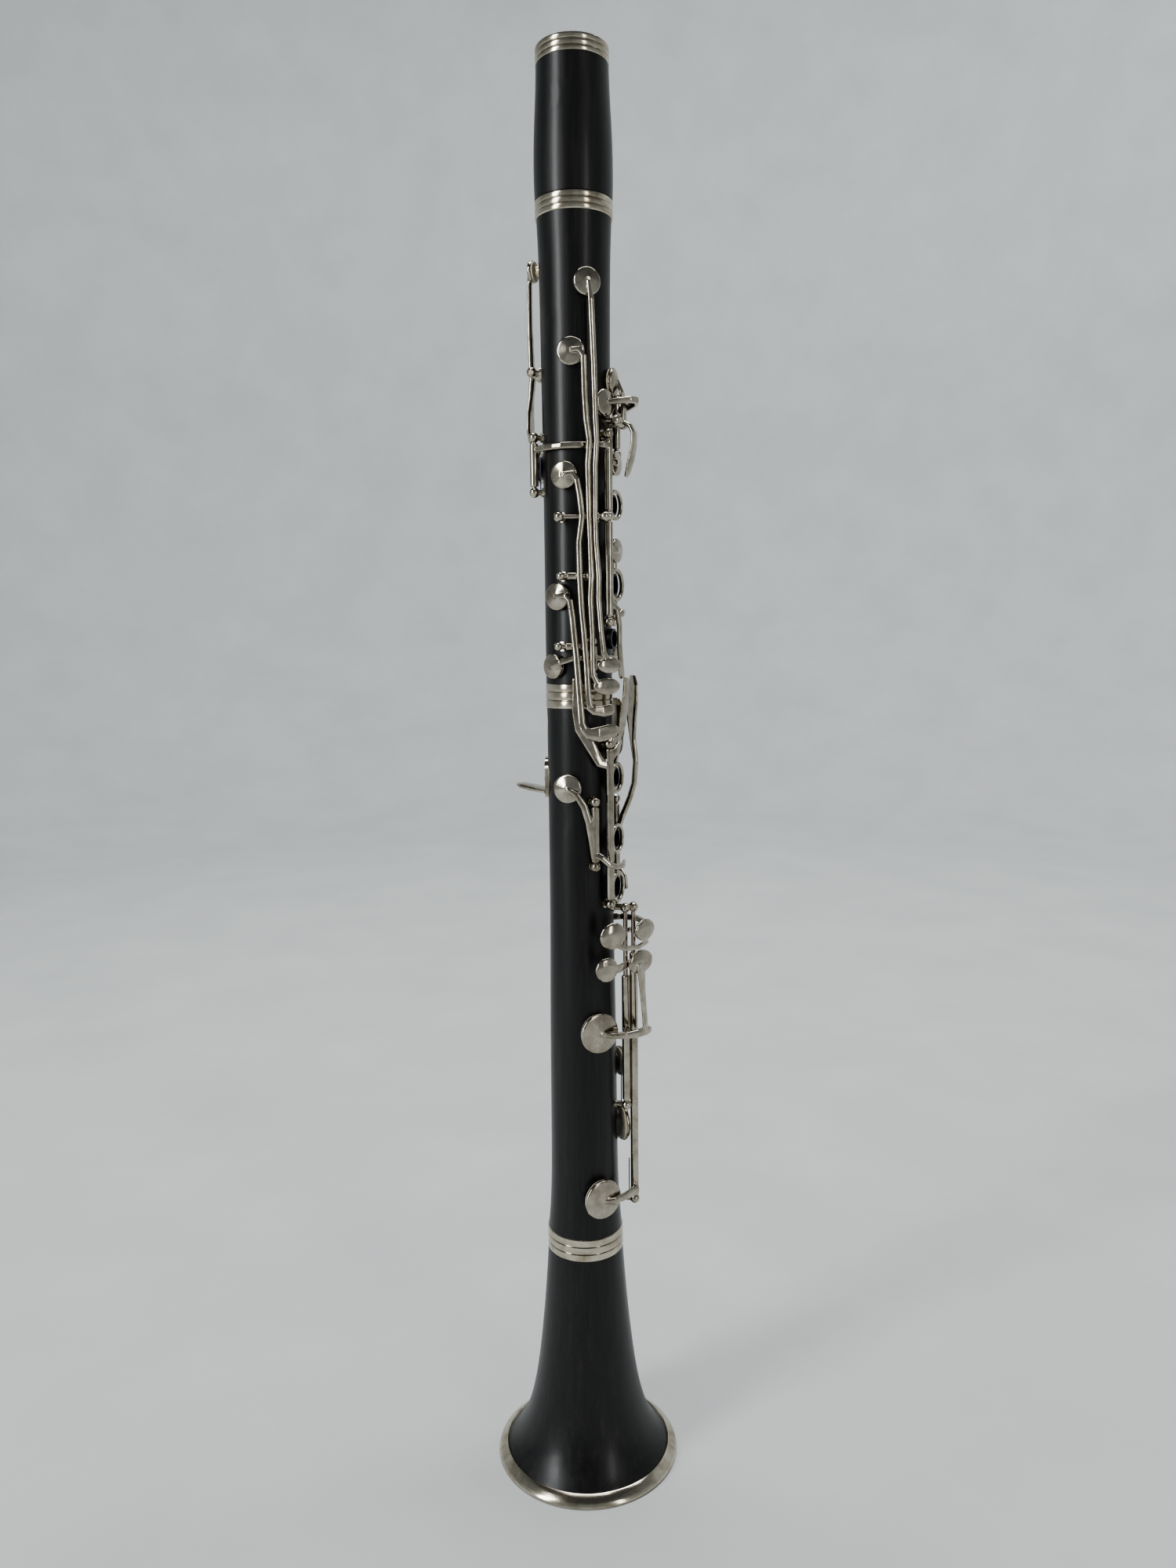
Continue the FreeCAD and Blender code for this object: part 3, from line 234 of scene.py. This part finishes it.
def pad_skin():
    """Thin translucent membrane stretched over felt."""
    material, tree, surface = shader("pad_skin")
    soft = noise(tree, place(tree), 380.0, 5.0)
    base = ramp(tree, soft, [(0.3, (0.52, 0.44, 0.31)), (0.55, (0.72, 0.66, 0.53)),
                             (0.8, (0.80, 0.76, 0.66))])
    tree.links.new(base, surface.inputs["Base Color"])
    tree.links.new(spread(tree, soft, 0.38, 0.6), surface.inputs["Roughness"])
    surface.inputs["Subsurface Weight"].default_value = 0.15
    surface.inputs["Subsurface Radius"].default_value = (0.0008, 0.0006, 0.0004)
    relief(tree, surface, soft, 0.00006, 0.6)
    return material


def make_materials():
    metals = {name: plated(name, *finish) for name, finish in METALS.items()}
    return {"blackwood": blackwood(), "cork": cork(), "pad_skin": pad_skin(), **metals}


# ------------------------------------------------------------------ pieces

def add_piece(name, mesh, body, material):
    """Object that rides on a body and wears one material."""
    piece = bpy.data.objects.new(name, mesh)
    bpy.context.scene.collection.objects.link(piece)
    mesh.materials.clear()
    mesh.materials.append(material)
    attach(piece, body)
    return piece


def evaluated(piece):
    """The piece's mesh with its modifiers applied, as a new mesh."""
    graph = bpy.context.evaluated_depsgraph_get()
    return bpy.data.meshes.new_from_object(piece.evaluated_get(graph))


def brazed(node):
    """Mesh of a key as one smooth brazed and polished casting."""
    source = bpy.data.objects.new("source", NODES[node].data.copy())
    bpy.context.scene.collection.objects.link(source)
    remesh = source.modifiers.new("skin", "REMESH")
    remesh.mode = "VOXEL"
    remesh.voxel_size = KEY_VOXEL
    remesh.use_smooth_shade = True
    smooth = source.modifiers.new("soft", "SMOOTH")
    smooth.factor = 0.5
    smooth.iterations = KEY_SMOOTHING
    swell = source.modifiers.new("plating", "DISPLACE")
    swell.mid_level = 0.0
    swell.strength = PLATING
    mesh = evaluated(source)
    bpy.data.objects.remove(source)
    return mesh


def crisp(node):
    """Mesh of a turned or fitted part, welded, with smooth curves and sharp rims."""
    mesh = NODES[node].data.copy()
    work = bmesh.new()
    work.from_mesh(mesh)
    bmesh.ops.remove_doubles(work, verts=work.verts, dist=WELD)
    work.to_mesh(mesh)
    work.free()
    if mesh.has_custom_normals:
        mesh.attributes.remove(mesh.attributes["custom_normal"])
    mesh.shade_smooth()
    mesh.set_sharp_from_angle(angle=math.radians(SHARP_ANGLE))
    return mesh


def is_key(node):
    """Keys are the plated nodes that turn: neither posts nor the thumb rest."""
    return SLOT_OF[node] == "key_plate" and not node.endswith("_posts") and node != "thumb_rest"


def finish_parts(materials):
    """Every CAD node gets a finished surface of the same shape."""
    for node in sorted(NODES):
        slot = SLOT_OF[node]
        mesh = brazed(node) if is_key(node) else crisp(node)
        piece = add_piece(node + "_finish", mesh, BODY_OF[node], materials[slot])
        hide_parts(node)


# ------------------------------------------------------------------ stage

def backdrop():
    """Pale seamless floor that curves up into a round wall."""
    outline = [(0.0, 0.0), (FLOOR_RADIUS, 0.0)]
    for step in range(1, CURVE_STEPS + 1):
        turn = math.radians(90 * step / CURVE_STEPS)
        outline.append((FLOOR_RADIUS + WALL_CURVE * math.sin(turn), WALL_CURVE * (1 - math.cos(turn))))
    outline.append((FLOOR_RADIUS + WALL_CURVE, WALL_TOP))
    mesh = bpy.data.meshes.new("backdrop")
    work = bmesh.new()
    verts = [work.verts.new((r, 0, z)) for r, z in outline]
    edges = [work.edges.new(pair) for pair in zip(verts, verts[1:])]
    bmesh.ops.spin(work, geom=verts + edges, cent=(0, 0, 0), axis=(0, 0, 1), angle=math.tau,
                   steps=WALL_SIDES)
    bmesh.ops.remove_doubles(work, verts=work.verts, dist=BACKDROP_WELD)
    bmesh.ops.recalc_face_normals(work, faces=work.faces)
    work.to_mesh(mesh)
    work.free()
    mesh.shade_smooth()
    floor = bpy.data.objects.new("backdrop", mesh)
    bpy.context.scene.collection.objects.link(floor)
    material, tree, surface = shader("paper")
    fibre = noise(tree, place(tree), 9.0, 4.0)
    tree.links.new(ramp(tree, fibre, [(0.3, (0.50, 0.515, 0.515)), (0.7, (0.545, 0.56, 0.56))]),
                   surface.inputs["Base Color"])
    surface.inputs["Roughness"].default_value = 0.9
    mesh.materials.append(material)


def softbox(name, position, target, size, power, colour=(1, 1, 1)):
    """Rectangular soft light turned toward a target."""
    light = bpy.data.lights.new(name, "AREA")
    light.shape = "RECTANGLE"
    light.size, light.size_y = size
    light.energy = power
    light.color = colour
    lamp = bpy.data.objects.new(name, light)
    bpy.context.scene.collection.objects.link(lamp)
    lamp.location = position
    lamp.rotation_euler = (Vector(target) - Vector(position)).to_track_quat("-Z", "Y").to_euler()


def directions():
    """Level forward and right directions of the camera."""
    side = math.radians(CAMERA_SIDE)
    return Vector((math.sin(side), math.cos(side), 0)), Vector((math.cos(side), -math.sin(side), 0))


def lights():
    forward, right = directions()
    up = Vector((0, 0, 1))
    middle = (0, 0, 0.3)
    softbox("window", -forward * 1.0 - right * 1.35 + up * 0.95, middle, (0.40, 1.4), 20, DAYLIGHT)
    softbox("fill", -forward * 1.3 + right * 1.0 + up * 0.7, middle, (0.22, 1.1), 3.5, LAMPLIGHT)
    softbox("wash", forward * 0.5 + right * 0.4 + up * 2.3, forward * 1.9 + right * 0.6 + up * 0.2,
            (2.2, 0.7), 36, DAYLIGHT)
    softbox("top", forward * 0.1 + up * 2.3, (0, 0, 0), (1.2, 1.2), 21)
    world = bpy.data.worlds.new("room")
    world.use_nodes = True
    background = world.node_tree.nodes["Background"]
    background.inputs["Color"].default_value = ROOM_COLOUR
    background.inputs["Strength"].default_value = ROOM_STRENGTH
    bpy.context.scene.world = world


def camera():
    forward, right = directions()
    pitch, roll = math.radians(CAMERA_PITCH), math.radians(CAMERA_ROLL)
    up = Vector((0, 0, 1))
    ahead = forward * math.cos(pitch) - up * math.sin(pitch)
    over = up * math.cos(pitch) + forward * math.sin(pitch)
    top = over * math.cos(roll) + right * math.sin(roll)
    across = ahead.cross(top)
    data = bpy.data.cameras.new("camera")
    data.sensor_fit = "VERTICAL"
    data.sensor_height = FILM_HEIGHT
    data.lens = LENS
    data.clip_start = 0.01
    viewer = bpy.data.objects.new("camera", data)
    bpy.context.scene.collection.objects.link(viewer)
    turn = Matrix((across, top, -ahead)).transposed().to_4x4()
    spot = -forward * CAMERA_DISTANCE + right * CAMERA_OFFSET + up * CAMERA_HEIGHT
    viewer.matrix_world = Matrix.Translation(spot) @ turn
    bpy.context.scene.camera = viewer


bpy.context.scene.view_settings.look = "AgX - Medium High Contrast"
camera()
backdrop()
lights()
finish_parts(make_materials())
